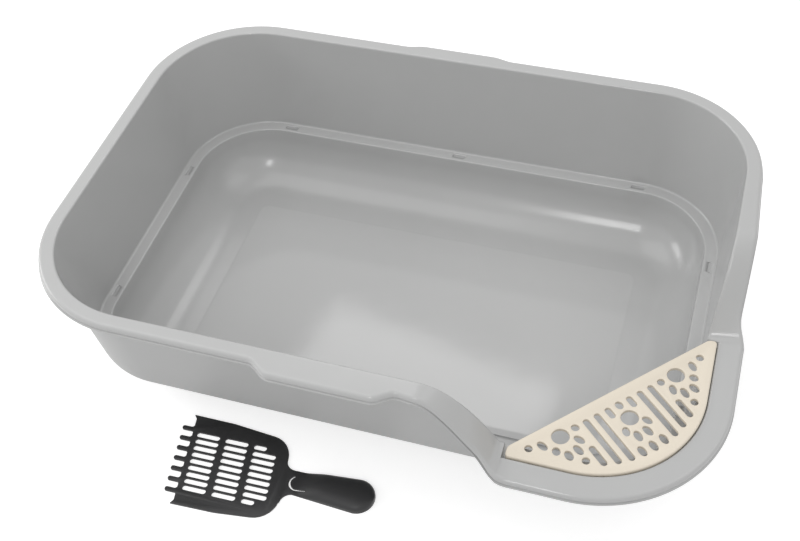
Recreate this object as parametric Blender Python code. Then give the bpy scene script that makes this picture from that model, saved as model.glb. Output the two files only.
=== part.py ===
# Open-top litter box: a deep pan with one low entry corner, a pierced grate that drops into that corner,
# and the slotted scoop that comes with it. Metres, +Z up. The pan stands on the origin, with its long side
# along X, the entry corner towards +X and -Y, and the back towards +Y.

import math

import bmesh
import bpy
from mathutils import Matrix, Vector

# Pan: outer line of the rim, and the shell
rim_length = 0.600
rim_width = 0.411
rim_height = 0.170
rim_corner_radius = 0.107
wall_thickness = 0.0025

# Rim lip with its down-turned flange
lip_width = 0.0139
lip_inner_rounding = 0.0018
lip_outer_rounding = 0.0009
flange_drop = 0.0076
flange_thickness = 0.0022
hem_reach = 0.0005
hem_height = 0.0013

# Widened lip on each long side, to lift the pan by. Both sit a little left of the middle
front_grip_swell = 0.0110
front_grip_half_length = 0.0630
front_grip_offset = 0.0050
back_grip_swell = 0.0037
back_grip_half_length = 0.0552
back_grip_offset = 0.0065
grip_blend = 0.0207

# Ledge all the way round the inside
ledge_height = 0.0570
ledge_outer_inset = 0.0230
ledge_inner_inset = 0.0353
front_wall_tuck = 0.0086
ledge_edge_rounding = 0.0014
ledge_foot_rounding = 0.0020
underside_rounding = 0.0024

# Small grooves in the ledge
groove_length = 0.0130
groove_width = 0.0030
groove_depth = 0.0010
groove_back_from_corner_long = 0.0050
groove_back_from_corner_short = 0.0100

# Lower wall and floor
lower_wall_lean = 0.0007
floor_fillet_radius = 0.0450
floor_rise = 0.0013
floor_panel_inset = 0.0970

# Entry corner: the rim dips to a shelf with a rebate for the grate
shelf_height = 0.0960
entry_front_reach = 0.0550
entry_side_reach = 0.0650
shelf_swell = 0.0105
side_swell = 0.0036
rebate_inset = 0.0110
rebate_depth = 0.0043
ramp_start_before_tip = 0.0680
ramp_end_past_tip = 0.0085
swell_start_before_tip = 0.0200
swell_end_past_tip = 0.0010
inner_edge_start_before_tip = 0.0680
inner_edge_end_before_tip = 0.0055
rebate_end_gap = 0.0026
rebate_end_slope = 0.0004
inner_edge_power = 2.0

# Corner grate
seat_gap = 0.0003
grate_side_clearance = 0.0006
grate_front_end_clearance = 0.0035
grate_side_end_clearance = 0.0010
grate_height = 0.0060
grate_plate_thickness = 0.0034
grate_skirt_thickness = 0.0024
grate_front_tip_width = 0.0095
grate_side_tip_width = 0.0072
grate_tip_rounding = 0.0030
grate_chord_rounding = 0.0070
grate_edge_rounding = 0.0014

# Openings of the grate, in rows square to its straight edge, from a middle that lies nearer the front tip
hole_middle_offset = 0.0028
hole_pitch = 0.01087
hole_width = 0.0057
hole_first_row = 0.0117
hole_short_row_end = 0.0230
hole_outer_start = 0.0352
hole_outer_margin = 0.0090
pad_width = 0.0152
pad_height = 0.0146
middle_pad_row = 0.0294
side_pad_row = 0.0150
side_pad_offset = 0.0585
toe_length = 0.0102
toe_width = 0.0064
dot_width = 0.0066
end_dot_row = 0.0112
outer_dot_row = 0.0446
middle_toe_shares = (
    (-0.70, 0.62, 0.60, 0.42),
    (-0.32, 1.17, 0.70, 0.43),
    (0.32, 1.17, 0.70, 0.43),
    (0.70, 0.62, 0.60, 0.42),
)
side_toe_shares = (
    (-0.99, -0.05, 0.46, 0.42),
    (-0.74, 0.69, 0.66, 0.41),
    (-0.33, 1.19, 0.70, 0.42),
    (0.30, 1.22, 0.64, 0.45),
    (0.72, 0.66, 0.52, 0.45),
)

# Scoop: blade
scoop_thickness = 0.0018
blade_length = 0.1080
blade_front_width = 0.0932
blade_back_width = 0.0800
blade_corner_radius = 0.0220
blade_neck_radius = 0.0110
blade_rake_share = 0.1500
tooth_count = 7
tooth_pitch = 0.0108
tooth_width = 0.0042
tooth_length = 0.0112
horn_length = 0.0027
horn_width = 0.0075

# Scoop: slots of the blade
slot_rows = 9
slot_row_pitch = 0.00695
slot_row_offset = -0.0010
slot_width = 0.0051
slot_front_margin = 0.0046
slot_back_margin = 0.0217
slot_web = 0.0056
half_slot_share = 0.55

# Scoop: hollow handle with a sprung tongue at its root
handle_length = 0.0754
handle_root_width = 0.0236
handle_end_width = 0.0328
handle_height = 0.0095
handle_wall = 0.0024
handle_rise_length = 0.0300
tongue_slit_width = 0.0016
tongue_radius = 0.0072
tongue_arm_length = 0.0100
tongue_front = 0.0040

# Scoop: where it lies on the floor in front of the pan
scoop_root_x = -0.0472
scoop_root_y = -0.2109
scoop_turn = math.radians(1.4)

# Cutters run past what they cut by this much
overrun = 0.0040

# Steps of the round shapes, twice as many on wide curves, and the angle from which an edge is shaded sharp
wide_curve_radius = 0.0100
sharp_angle = math.radians(35)
corner_steps = 11
entry_corner_steps = 16
fillet_steps = 7
blend_steps = 5
ramp_steps = 9
hole_steps = 6

half_length = rim_length / 2
half_width = rim_width / 2
corner_x = half_length - rim_corner_radius
corner_y = half_width - rim_corner_radius
grate_inset = rebate_inset + grate_side_clearance
grate_base = shelf_height - rebate_depth + seat_gap

# The entry's ends: where the rebate runs out under the ramps, on the front and on the side
tip_x = corner_x - entry_front_reach
tip_y = -corner_y + entry_side_reach

# The grate ends short of the rebate's ends
grate_front_end = tip_x + grate_front_end_clearance
grate_side_end = tip_y - grate_side_end_clearance

# Distances along the rim line from the middle of the front: a corner's arc, the side tip and the back's middle
corner_arc = rim_corner_radius * math.pi / 2
side_tip = corner_x + corner_arc + corner_y + tip_y
back_middle = 2 * (corner_x + corner_arc + corner_y)

# Three columns of slots with two webs fill the blade between its margins
slot_length = (blade_length - horn_length - slot_front_margin - slot_back_margin - 2 * slot_web) / 3


def clear_scene():
    for old in list(bpy.data.objects):
        bpy.data.objects.remove(old, do_unlink=True)


def plastic(name, colour, roughness):
    material = bpy.data.materials.new(name)
    material.use_nodes = True
    shader = material.node_tree.nodes["Principled BSDF"]
    shader.inputs["Base Color"].default_value = (*colour, 1.0)
    shader.inputs["Roughness"].default_value = roughness
    shader.inputs["Metallic"].default_value = 0.0
    material.diffuse_color = (*colour, 1.0)
    return material


def smooth(t):
    t = min(1.0, max(0.0, t))
    return t * t * (3.0 - 2.0 * t)


def spread(start, end, steps):
    return [start + (end - start) * i / steps for i in range(steps + 1)]


def wall_inset(z, tuck=0.0):
    """How far inside the rim line the inner face of the upper wall lies at this height."""
    rise = (z - ledge_height) / (rim_height - ledge_height)
    foot = ledge_outer_inset + tuck
    return foot + (lip_width - foot) * rise


# Stations of the pan. Each has its place as a distance along the rim line, anticlockwise from the front's middle


def rim_spot(distance):
    """The rim line's point and outward normal at this distance."""
    corners = ((corner_x, -corner_y), (corner_x, corner_y), (-corner_x, corner_y), (-corner_x, -corner_y))
    runs = (2 * corner_x, 2 * corner_y, 2 * corner_x, 2 * corner_y)
    left = (distance + corner_x) % (sum(runs) + 4 * corner_arc)
    heading = -math.pi / 2
    for centre, run in zip(corners, runs):
        short = max(0.0, run - left)
        turned = heading + max(0.0, left - run) / rim_corner_radius
        if turned <= heading + math.pi / 2:
            break
        left -= run + corner_arc
        heading += math.pi / 2
    normal = (math.cos(turned), math.sin(turned))
    x = centre[0] + rim_corner_radius * normal[0] + short * normal[1]
    y = centre[1] + rim_corner_radius * normal[1] - short * normal[0]
    return Vector((x, y)), Vector(normal)


def grip(distance):
    """How far the lip swells for the grips. The back's run the other way, so its offset changes sign."""
    front = smooth((front_grip_half_length - abs(distance + front_grip_offset)) / grip_blend)
    back = smooth((back_grip_half_length - abs(distance - back_middle - back_grip_offset)) / grip_blend)
    return front_grip_swell * front + back_grip_swell * back


def station(distance):
    """A point of the rim line, its normal, and what the rim does there."""
    point, normal = rim_spot(distance)
    past_front_tip = distance - tip_x
    past_side_tip = side_tip - distance
    past_tip = min(past_front_tip, past_side_tip)
    swell = grip(distance)
    outer = inner = 0.0
    if past_tip >= -ramp_start_before_tip:
        run = (past_tip + ramp_start_before_tip) / (ramp_start_before_tip + ramp_end_past_tip)
        outer = smooth(run)
        inner_run = (past_tip + inner_edge_start_before_tip) / (
            inner_edge_start_before_tip - inner_edge_end_before_tip
        )
        inner = min(1.0, max(0.0, inner_run)) ** inner_edge_power
    if past_side_tip < past_front_tip:
        # the side bows out a little from the back corner to the ramp
        side_run = corner_y - tip_y
        swell += side_swell * min(1.0, max(0.0, (past_side_tip + side_run) / (side_run - ramp_start_before_tip)))
    swell_run = (past_tip + swell_start_before_tip) / (swell_start_before_tip + swell_end_past_tip)
    swell += (shelf_swell - swell) * smooth(swell_run)
    fall = rim_height - shelf_height
    return {
        "point": point,
        "normal": normal,
        "outer": rim_height - fall * outer,
        "inner": rim_height - fall * inner,
        "swell": swell,
        "tuck": front_wall_tuck * smooth(-normal.y),
        "rebated": past_tip > -rebate_end_gap,
    }


def ramp_marks():
    """Distances past the grate's tip at which the ramps need a station."""
    marks = spread(-ramp_start_before_tip, ramp_end_past_tip, ramp_steps)
    marks += spread(-swell_start_before_tip, swell_end_past_tip, blend_steps)
    return marks + [-inner_edge_end_before_tip, -rebate_end_gap - rebate_end_slope, -rebate_end_gap + rebate_end_slope]


def pan_stations():
    """Once round the rim, anticlockwise from above, from the front left corner's end."""
    marks = []
    for middle, half in (
        (-front_grip_offset, front_grip_half_length),
        (back_middle + back_grip_offset, back_grip_half_length),
    ):
        blends = spread(half, half - grip_blend, blend_steps)
        marks += [middle - x for x in blends] + [middle + x for x in blends]
    marks += [tip_x + mark for mark in ramp_marks()] + [side_tip - mark for mark in ramp_marks()]
    corners = (
        (-corner_x - corner_arc, corner_steps),
        (corner_x, entry_corner_steps),
        (back_middle - corner_x - corner_arc, corner_steps),
        (back_middle + corner_x, corner_steps),
    )
    for start, steps in corners:
        marks += spread(start, start + corner_arc, steps)
    return [station(mark) for mark in sorted(marks)]


def arc_points(centre, radius, start, end, steps):
    """Points of an arc in the section plane, whose angle is 0 outwards and 90 degrees upwards."""
    return [
        (centre[0] - radius * math.cos(angle), centre[1] + radius * math.sin(angle))
        for angle in spread(start, end, steps)
    ]


def section(at):
    """The pan's closed section at a station, as (inset from the rim line, height): up the inside, down the outside."""
    quarter = math.pi / 2
    tuck = at["tuck"]
    ledge_inner = ledge_inner_inset + tuck
    fillet_inset = ledge_inner + lower_wall_lean + floor_fillet_radius
    fillet_height = wall_thickness + floor_rise + floor_fillet_radius
    fillet = (fillet_inset, fillet_height)
    inner, outer, swell = at["inner"], at["outer"], at["swell"]

    inside = [(floor_panel_inset, wall_thickness)]
    inside += arc_points(fillet, floor_fillet_radius, -quarter, 0.0, fillet_steps)
    edge = (ledge_inner - ledge_edge_rounding, ledge_height - ledge_edge_rounding)
    inside += arc_points(edge, -ledge_edge_rounding, 0.0, -quarter, 2)
    foot_height = ledge_height + ledge_foot_rounding
    foot = (wall_inset(foot_height, tuck) + ledge_foot_rounding, foot_height)
    inside += arc_points(foot, ledge_foot_rounding, -quarter, 0.0, 2)

    seat = inner - rebate_depth
    top = inner - lip_inner_rounding
    if at["rebated"]:
        lip_inset = rebate_inset
        inside += [(wall_inset(seat, tuck), seat), (rebate_inset, seat)]
        under = [
            (rebate_inset - wall_thickness, inner - wall_thickness),
            (rebate_inset - wall_thickness, seat - wall_thickness),
            (wall_inset(seat, tuck) - wall_thickness, seat - wall_thickness),
        ]
    else:
        lip_inset = wall_inset(top, tuck)
        inside += [(wall_inset(seat, tuck), seat), (wall_inset((seat + top) / 2, tuck), (seat + top) / 2)]
        under = [
            (wall_inset(level, tuck) - wall_thickness, level)
            for level in (inner - wall_thickness, seat - wall_thickness / 2, seat - wall_thickness)
        ]
    rounding = (lip_inset - lip_inner_rounding, inner - lip_inner_rounding)
    inside += arc_points(rounding, -lip_inner_rounding, 0.0, -quarter, 2)

    shoulder = (lip_outer_rounding - swell, outer - lip_outer_rounding)
    outside = arc_points(shoulder, lip_outer_rounding, quarter, 0.0, 2)
    outside += [
        (-swell, outer - flange_drop + hem_height),
        (-swell - hem_reach, outer - flange_drop + hem_height / 2),
        (-swell - hem_reach, outer - flange_drop),
        (flange_thickness - swell, outer - flange_drop),
        (flange_thickness - swell, outer - wall_thickness),
    ]
    outside += under
    shell_inset = ledge_outer_inset + tuck - wall_thickness
    shell_base = ledge_height - wall_thickness
    corner = (shell_inset + underside_rounding, shell_base + underside_rounding)
    outside += arc_points(corner, underside_rounding, 0.0, -quarter, 2)
    outside.append((ledge_inner + lower_wall_lean - wall_thickness, shell_base))
    outside += arc_points(fillet, floor_fillet_radius + wall_thickness, 0.0, -quarter, fillet_steps)
    outside.append((floor_panel_inset, 0.0))
    return inside + outside


def finish_mesh(name, shape, material):
    bmesh.ops.recalc_face_normals(shape, faces=shape.faces)
    mesh = bpy.data.meshes.new(name)
    shape.to_mesh(mesh)
    shape.free()
    mesh.shade_smooth()
    mesh.set_sharp_from_angle(angle=sharp_angle)
    piece = bpy.data.objects.new(name, mesh)
    bpy.context.collection.objects.link(piece)
    if material:
        mesh.materials.append(material)
    return piece


def loft(name, rings, material, caps=True):
    """Bridges closed rings of points, each to the next, and back to the first where there are no caps."""
    shape = bmesh.new()
    rows = [[shape.verts.new(point) for point in ring] for ring in rings]
    pairs = list(zip(rows, rows[1:]))
    if not caps:
        pairs.append((rows[-1], rows[0]))
    for first, second in pairs:
        for i in range(len(first)):
            j = (i + 1) % len(first)
            shape.faces.new((first[i], second[i], second[j], first[j]))
    if caps:
        shape.faces.new(rows[0])
        shape.faces.new(rows[-1])
    return finish_mesh(name, shape, material)


def make_pan(material):
    """Rings follow the rim, one for each point of the section, and the floor closes both ends."""
    stations = pan_stations()
    sections = [section(at) for at in stations]
    rings = []
    for i in range(len(sections[0])):
        ring = []
        for at, points in zip(stations, sections):
            inset, height = points[i]
            spot = at["point"] - at["normal"] * inset
            ring.append((spot.x, spot.y, height))
        rings.append(ring)
    return loft("litter_pan", rings, material)


# Flat outlines, as lists of points in the plane


def rounded_outline(corners, steps):
    """Corners are (point, radius) pairs of a closed outline. Each radius becomes an arc between its two sides."""
    outline = []
    for i, (point, radius) in enumerate(corners):
        here = Vector(point)
        if not radius:
            outline.append(here)
            continue
        back = (Vector(corners[i - 1][0]) - here).normalized()
        ahead = (Vector(corners[(i + 1) % len(corners)][0]) - here).normalized()
        half = back.angle(ahead) / 2
        centre = here + (back + ahead).normalized() * (radius / math.sin(half))
        start = here + back * (radius / math.tan(half)) - centre
        turn = start.angle_signed(here + ahead * (radius / math.tan(half)) - centre)
        count = 2 * steps if radius > wide_curve_radius else steps
        for step in range(count + 1):
            outline.append(centre + start @ Matrix.Rotation(turn * step / count, 2))
    return outline


def stadium(start, end, width, steps=hole_steps):
    """A slot with round ends whose whole length runs from start to end."""
    start, end = Vector(start), Vector(end)
    along = (end - start).normalized()
    across = Vector((-along.y, along.x))
    radius = width / 2
    outline = []
    for centre, first in ((end - along * radius, -1.0), (start + along * radius, 1.0)):
        for angle in spread(-math.pi / 2, math.pi / 2, steps):
            outline.append(centre + (along * math.cos(angle) + across * math.sin(angle)) * radius * -first)
    return outline


def ellipse(centre, length, width, lean, steps=2 * hole_steps + 2):
    """Its long axis leans by this angle from the first axis of the plane."""
    axis = Vector((math.cos(lean), math.sin(lean)))
    across = Vector((-axis.y, axis.x))
    return [
        Vector(centre) + axis * (length / 2 * math.cos(angle)) + across * (width / 2 * math.sin(angle))
        for angle in spread(0.0, 2 * math.pi, steps)[:-1]
    ]


def prisms(name, outlines, bottom, top, material=None):
    """One upright prism for each outline, in a single mesh."""
    shape = bmesh.new()
    for outline in outlines:
        base = [shape.verts.new((point.x, point.y, bottom)) for point in outline]
        roof = [shape.verts.new((point.x, point.y, top)) for point in outline]
        shape.faces.new(base)
        shape.faces.new(roof)
        for i in range(len(base)):
            j = (i + 1) % len(base)
            shape.faces.new((base[i], base[j], roof[j], roof[i]))
    return finish_mesh(name, shape, material)


def as_cutter(cutter, parent=None):
    cutter.hide_render = True
    cutter.display_type = "WIRE"
    if parent:
        cutter.parent = parent
    return cutter


def boolean(piece, other, operation):
    modifier = piece.modifiers.new(other.name, "BOOLEAN")
    modifier.operation = operation
    modifier.solver = "EXACT"
    modifier.object = other


def settle(piece):
    """Keeps the modified shape as the piece's own mesh, marks its sharp edges again and drops the cutters."""
    bpy.context.view_layer.update()
    graph = bpy.context.evaluated_depsgraph_get()
    mesh = bpy.data.meshes.new_from_object(piece.evaluated_get(graph))
    cutters = [modifier.object for modifier in piece.modifiers if modifier.type == "BOOLEAN"]
    piece.modifiers.clear()
    piece.data = mesh
    mesh.name = piece.name
    mesh.shade_smooth()
    mesh.set_sharp_from_angle(angle=sharp_angle)
    for cutter in cutters:
        bpy.data.objects.remove(cutter, do_unlink=True)
    return piece


def round_edges(piece, width):
    modifier = piece.modifiers.new("edge_rounding", "BEVEL")
    modifier.width = width
    modifier.segments = 2
    modifier.limit_method = "ANGLE"
    modifier.angle_limit = math.radians(60)


def cut_ledge_grooves(pan):
    middle = (ledge_outer_inset + ledge_inner_inset) / 2
    half = groove_length / 2
    long_x = corner_x - groove_back_from_corner_long
    short_y = corner_y - groove_back_from_corner_short
    outlines = []
    for y in (half_width - middle, middle + front_wall_tuck - half_width):
        for x in (-long_x, 0.0, long_x):
            outlines.append(stadium((x - half, y), (x + half, y), groove_width, 4))
    for x in (half_length - middle, middle - half_length):
        for y in (-short_y, short_y):
            outlines.append(stadium((x, y - half), (x, y + half), groove_width, 4))
    cutter = prisms("ledge_groove_cutter", outlines, ledge_height - groove_depth, ledge_height + overrun)
    boolean(pan, as_cutter(cutter), "DIFFERENCE")
    settle(pan)


# Corner grate, in its own frame: X along the straight edge, Y square to it towards the entry corner


def grate_frame():
    """The middle of the openings on the straight edge, and the directions along that edge and square to it."""
    front = Vector((grate_front_end, -half_width + grate_inset + grate_front_tip_width))
    side = Vector((half_length - grate_inset - grate_side_tip_width, grate_side_end))
    along = (side - front).normalized()
    middle = (front + side) / 2 - along * hole_middle_offset
    return middle, along, Vector((along.y, -along.x))


def to_grate(point, frame):
    middle, along, across = frame
    offset = Vector(point) - middle
    return Vector((offset.dot(along), -offset.dot(across)))


def grate_outline(frame, margin=0.0):
    """The grate's outline, or the same drawn in by a margin on every side."""
    front = -half_width + grate_inset + margin
    side = half_length - grate_inset - margin
    front_end = grate_front_end + margin
    side_end = grate_side_end - margin
    radius = rim_corner_radius - grate_inset - margin
    middle, along, across = frame
    straight = middle + across * margin
    front_corner = straight + along * ((front_end - straight.x) / along.x)
    side_corner = straight + along * ((side_end - straight.y) / along.y)
    chord_radius = max(0.0, grate_chord_rounding - margin)
    tip_radius = max(0.0, grate_tip_rounding - margin)
    corners = [(front_corner, chord_radius), ((front_end, front), tip_radius)]
    for angle in spread(-math.pi / 2, 0.0, 2 * entry_corner_steps):
        corners.append(((corner_x + radius * math.cos(angle), -corner_y + radius * math.sin(angle)), 0.0))
    corners += [((side, side_end), tip_radius), (side_corner, chord_radius)]
    return [to_grate(point, frame) for point in rounded_outline(corners, 4)]


def grate_arc_row(x, frame):
    """How far from the straight edge the curved edge lies, at this place along it."""
    centre = to_grate((corner_x, -corner_y), frame)
    radius = rim_corner_radius - grate_inset
    return math.sqrt(radius**2 - (x - centre.x) ** 2) - centre.y


def paw(pad, side, toe_shares):
    """A pad with its toes. Each toe is (along, row, length, width), all as shares of the pad's width."""
    outlines = [ellipse((side * pad.x, -pad.y), pad_width, pad_height, 0.0)]
    for along_share, row_share, length_share, width_share in toe_shares:
        offset = Vector((along_share, row_share)) * pad_width
        lean = math.pi / 2 + (math.atan2(offset.y, offset.x) - math.pi / 2) / 2
        spot = pad + offset
        if side < 0:
            lean = math.pi - lean
        outlines.append(
            ellipse((side * spot.x, -spot.y), length_share * pad_width, width_share * pad_width, -lean)
        )
    return outlines


def grate_holes(frame):
    """The plate's own Y axis points away from the rows, so rows are negative there."""
    holes = []
    for column in (-4, -3, -2, 2, 3, 4):
        x = column * hole_pitch
        first = hole_outer_start if abs(column) == 4 else hole_first_row
        last = grate_arc_row(x, frame) - hole_outer_margin
        holes.append(stadium((x, -first), (x, -last), hole_width))
    for column in (-1, 1):
        x = column * hole_pitch
        holes.append(stadium((x, -hole_first_row), (x, -hole_short_row_end), hole_width))
    last = grate_arc_row(0.0, frame) - hole_outer_margin
    for column in (-1, 0, 1):
        x = column * hole_pitch
        row = last - toe_length / 2 + (grate_arc_row(x, frame) - grate_arc_row(0.0, frame))
        holes.append(ellipse((x, -row), toe_length, toe_width, math.pi / 2))
    holes.append(ellipse((0.0, -side_pad_row), toe_width * 1.25, hole_width * 1.15, math.pi / 2))
    holes += paw(Vector((0.0, middle_pad_row)), 1, middle_toe_shares)
    for side in (-1, 1):
        holes += paw(Vector((side_pad_offset, side_pad_row)), side, side_toe_shares)
        holes.append(ellipse((side * 7 * hole_pitch, -side_pad_row), toe_length, toe_width, side * 1.35))
        holes.append(ellipse((side * 8 * hole_pitch, -end_dot_row), dot_width, dot_width, 0.0))
        holes.append(ellipse((side * 5 * hole_pitch, -outer_dot_row), dot_width, dot_width, 0.0))
    return holes


def make_grate(material):
    """A moulded plate, hollow underneath, whose skirt stands in the rebate."""
    frame = grate_frame()
    middle, along, _ = frame
    plate = prisms("corner_grate", [grate_outline(frame)], 0.0, grate_height, material)
    plate.location = (middle.x, middle.y, grate_base)
    plate.rotation_euler = (0.0, 0.0, math.atan2(along.y, along.x))
    underside = grate_outline(frame, grate_skirt_thickness)
    hollow = prisms("grate_hollow_cutter", [underside], -overrun, grate_height - grate_plate_thickness)
    openings = prisms("grate_hole_cutter", grate_holes(frame), -overrun, grate_height + overrun)
    round_edges(plate, grate_edge_rounding)
    boolean(plate, as_cutter(hollow, plate), "DIFFERENCE")
    boolean(plate, as_cutter(openings, plate), "DIFFERENCE")
    return settle(plate)


# Scoop, in its own frame: X along the handle from its root, and the blade towards -X


def raked(point):
    """The blade's front edge and its rows of slots run a little aslant of the handle."""
    return Vector((point[0] - blade_rake_share * point[1], point[1]))


def blade_outline():
    front = -blade_length
    half = blade_front_width / 2
    tooth = tooth_width / 2
    gap_root = front + horn_length
    tip = gap_root - tooth_length
    corners = []
    reach = (tooth_count - 1) / 2 * tooth_pitch
    corners.append(((front, half), 0.0))
    corners.append(((gap_root, half - horn_width / 2), horn_width / 4))
    corners.append(((gap_root, reach + slot_row_offset + tooth), tooth_width / 2))
    for i in range(tooth_count):
        y = reach - i * tooth_pitch + slot_row_offset
        if i:
            corners.append(((gap_root, y + tooth), tooth_width / 2))
        corners.append(((tip, y + tooth), tooth_width * 0.45))
        corners.append(((tip, y - tooth), tooth_width * 0.45))
        if i < tooth_count - 1:
            corners.append(((gap_root, y - tooth), tooth_width / 2))
    corners.append(((gap_root, slot_row_offset - reach - tooth), tooth_width / 2))
    corners.append(((gap_root, -half + horn_width / 2), horn_width / 4))
    corners.append(((front, -half), 0.0))
    bulge = -blade_length * 0.62
    neck = -blade_neck_radius * 0.9
    back = blade_back_width / 2
    root = handle_root_width / 2
    corners += [
        ((bulge, -half * 0.985), blade_length / 2),
        ((neck, -back), blade_corner_radius),
        ((neck, -root), blade_neck_radius * 0.9),
        ((blade_neck_radius, -root), 0.0),
        ((blade_neck_radius, root), 0.0),
        ((neck, root), blade_neck_radius * 0.9),
        ((neck, back), blade_corner_radius),
        ((bulge, half * 0.985), blade_length / 2),
    ]
    return rounded_outline([(raked(point), radius) for point, radius in corners], 4)


def blade_slots():
    """Three columns of slots. The last column's first and last slots are short, where the blade's corners turn."""
    outlines = []
    start = horn_length - blade_length + slot_front_margin
    for column in range(3):
        left = start + column * (slot_length + slot_web)
        for row in range(slot_rows):
            y = (row - (slot_rows - 1) / 2) * slot_row_pitch + slot_row_offset
            right = left + slot_length
            if column == 2 and row in (0, slot_rows - 1):
                right = left + slot_length * half_slot_share
            outlines.append([raked((left, y)), raked((right, y))])
    return [stadium(start_end[0], start_end[1], slot_width, 4) for start_end in outlines]


def handle_rings(shrink, drop):
    """Arched sections along the handle, each a half ellipse over a flat base."""
    rings = []
    straight = handle_length - handle_end_width / 2
    first = -blade_neck_radius * 0.2 + shrink * 2.5
    marks = spread(first, straight, 6)
    marks += [
        straight + (handle_end_width / 2 - shrink) * math.sin(angle)
        for angle in spread(0.0, math.pi / 2 * 0.97, 6)[1:]
    ]
    for x in marks:
        share = max(0.0, min(1.0, x / straight))
        half = (handle_root_width + (handle_end_width - handle_root_width) * share) / 2
        half -= shrink
        height = scoop_thickness + (handle_height - scoop_thickness) * smooth(x / handle_rise_length) - shrink
        past = (x - straight) / (handle_end_width / 2 - shrink)
        if past > 0:
            half *= math.sqrt(1.0 - past**2)
            height *= 1.0 - 0.35 * past**2
        height = max(height, wall_thickness / 5)
        ring = [Vector((x, half, -drop)), Vector((x, -half, -drop))]
        for angle in spread(0.0, math.pi, 8):
            ring.append(Vector((x, -half * math.cos(angle), height * math.sin(angle) ** 0.6)))
        rings.append(ring)
    return rings


def tongue_slit():
    """A narrow hooked slit that frees a sprung tongue at the handle's root."""
    centre = Vector((tongue_radius - tongue_front, 0.0))
    turns = spread(math.radians(125), math.radians(270), 10)
    reach = Vector((tongue_arm_length, 0.0))
    sides = []
    for radius in (tongue_radius + tongue_slit_width / 2, tongue_radius - tongue_slit_width / 2):
        side = [centre + Vector((math.cos(turn), math.sin(turn))) * radius for turn in turns]
        sides.append(side + [side[-1] + reach])
    return sides[0] + sides[1][::-1]


def make_scoop(material):
    scoop = prisms("litter_scoop", [blade_outline()], 0.0, scoop_thickness, material)
    scoop.location = (scoop_root_x, scoop_root_y, 0.0)
    scoop.rotation_euler = (0.0, 0.0, scoop_turn)
    handle = as_cutter(loft("scoop_handle_form", handle_rings(0.0, 0.0), None), scoop)
    hollow = as_cutter(loft("scoop_hollow_cutter", handle_rings(handle_wall, overrun), None), scoop)
    slots = as_cutter(prisms("scoop_slot_cutter", blade_slots(), -overrun, scoop_thickness + overrun), scoop)
    slit = as_cutter(prisms("scoop_slit_cutter", [tongue_slit()], -overrun, handle_height + overrun), scoop)
    boolean(scoop, handle, "UNION")
    boolean(scoop, hollow, "DIFFERENCE")
    boolean(scoop, slots, "DIFFERENCE")
    boolean(scoop, slit, "DIFFERENCE")
    return settle(scoop)


def main():
    clear_scene()
    pan = make_pan(plastic("pan_grey_plastic", (0.42, 0.42, 0.41), 0.32))
    cut_ledge_grooves(pan)
    make_grate(plastic("grate_cream_plastic", (0.80, 0.73, 0.62), 0.45))
    make_scoop(plastic("scoop_black_plastic", (0.025, 0.025, 0.026), 0.42))


main()
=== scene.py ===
import math

import bmesh
import bpy
from mathutils import Matrix, Quaternion, Vector


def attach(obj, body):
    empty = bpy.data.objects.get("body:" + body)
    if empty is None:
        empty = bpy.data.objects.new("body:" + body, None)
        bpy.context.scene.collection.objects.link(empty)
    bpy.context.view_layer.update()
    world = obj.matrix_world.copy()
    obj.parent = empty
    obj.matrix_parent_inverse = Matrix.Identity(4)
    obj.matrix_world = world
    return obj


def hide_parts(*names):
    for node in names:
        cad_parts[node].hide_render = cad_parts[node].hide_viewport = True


# Open-top litter box: a grey moulded pan, a cream grate in its low entry corner and a black scoop
# beside it. Metres, +Z up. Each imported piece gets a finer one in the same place.

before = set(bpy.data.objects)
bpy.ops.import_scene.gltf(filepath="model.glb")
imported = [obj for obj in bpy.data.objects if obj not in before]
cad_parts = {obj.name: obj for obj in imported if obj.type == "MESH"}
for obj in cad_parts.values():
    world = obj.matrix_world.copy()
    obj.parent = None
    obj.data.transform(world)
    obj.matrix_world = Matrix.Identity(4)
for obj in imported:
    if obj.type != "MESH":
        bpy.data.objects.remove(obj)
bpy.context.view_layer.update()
print("frame loaded:", sorted(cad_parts))


# Helpers for node trees. A Wire is a socket that can be used in sums and comparisons

def mathMethod(operation, order=1):
    return lambda *values: calc(operation, *values[::order])


class Wire:
    def __init__(self, tree, socket):
        self.tree = tree
        self.socket = socket

    __add__ = mathMethod("ADD")
    __radd__ = mathMethod("ADD", -1)
    __sub__ = mathMethod("SUBTRACT")
    __rsub__ = mathMethod("SUBTRACT", -1)
    __mul__ = mathMethod("MULTIPLY")
    __truediv__ = mathMethod("DIVIDE")
    __lt__ = mathMethod("LESS_THAN")
    __gt__ = mathMethod("GREATER_THAN")
    __abs__ = mathMethod("ABSOLUTE")

    def __neg__(self):
        return self * -1.0


def feed(tree, socket, value):
    if isinstance(value, Wire):
        value = value.socket
    if isinstance(value, bpy.types.NodeSocket):
        tree.links.new(value, socket)
    elif value is not None:
        socket.default_value = value


def addNode(tree, kind, inputs=None, **settings):
    made = tree.nodes.new(kind)
    for name, value in settings.items():
        setattr(made, name, value)
    for name, value in (inputs or {}).items():
        feed(tree, made.inputs[name], value)
    return made


def wire(tree, node, output=0):
    return Wire(tree, node.outputs[output])


def step(tree, kind, inputs=None, **settings):
    return addNode(tree, "GeometryNode" + kind, inputs, **settings).outputs[0]


def shade(tree, kind, inputs=None, output=0, **settings):
    return wire(tree, addNode(tree, "ShaderNode" + kind, inputs, **settings), output)


def calc(operation, *values, **settings):
    tree = next(value.tree for value in values if isinstance(value, Wire))
    settings["operation"] = operation
    return shade(tree, "Math", dict(enumerate(values)), **settings)


def clamp01(value):
    return calc("ADD", value, 0.0, use_clamp=True)


def smooth01(value):
    return shade(value.tree, "MapRange", {0: value}, interpolation_type="SMOOTHSTEP")


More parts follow.
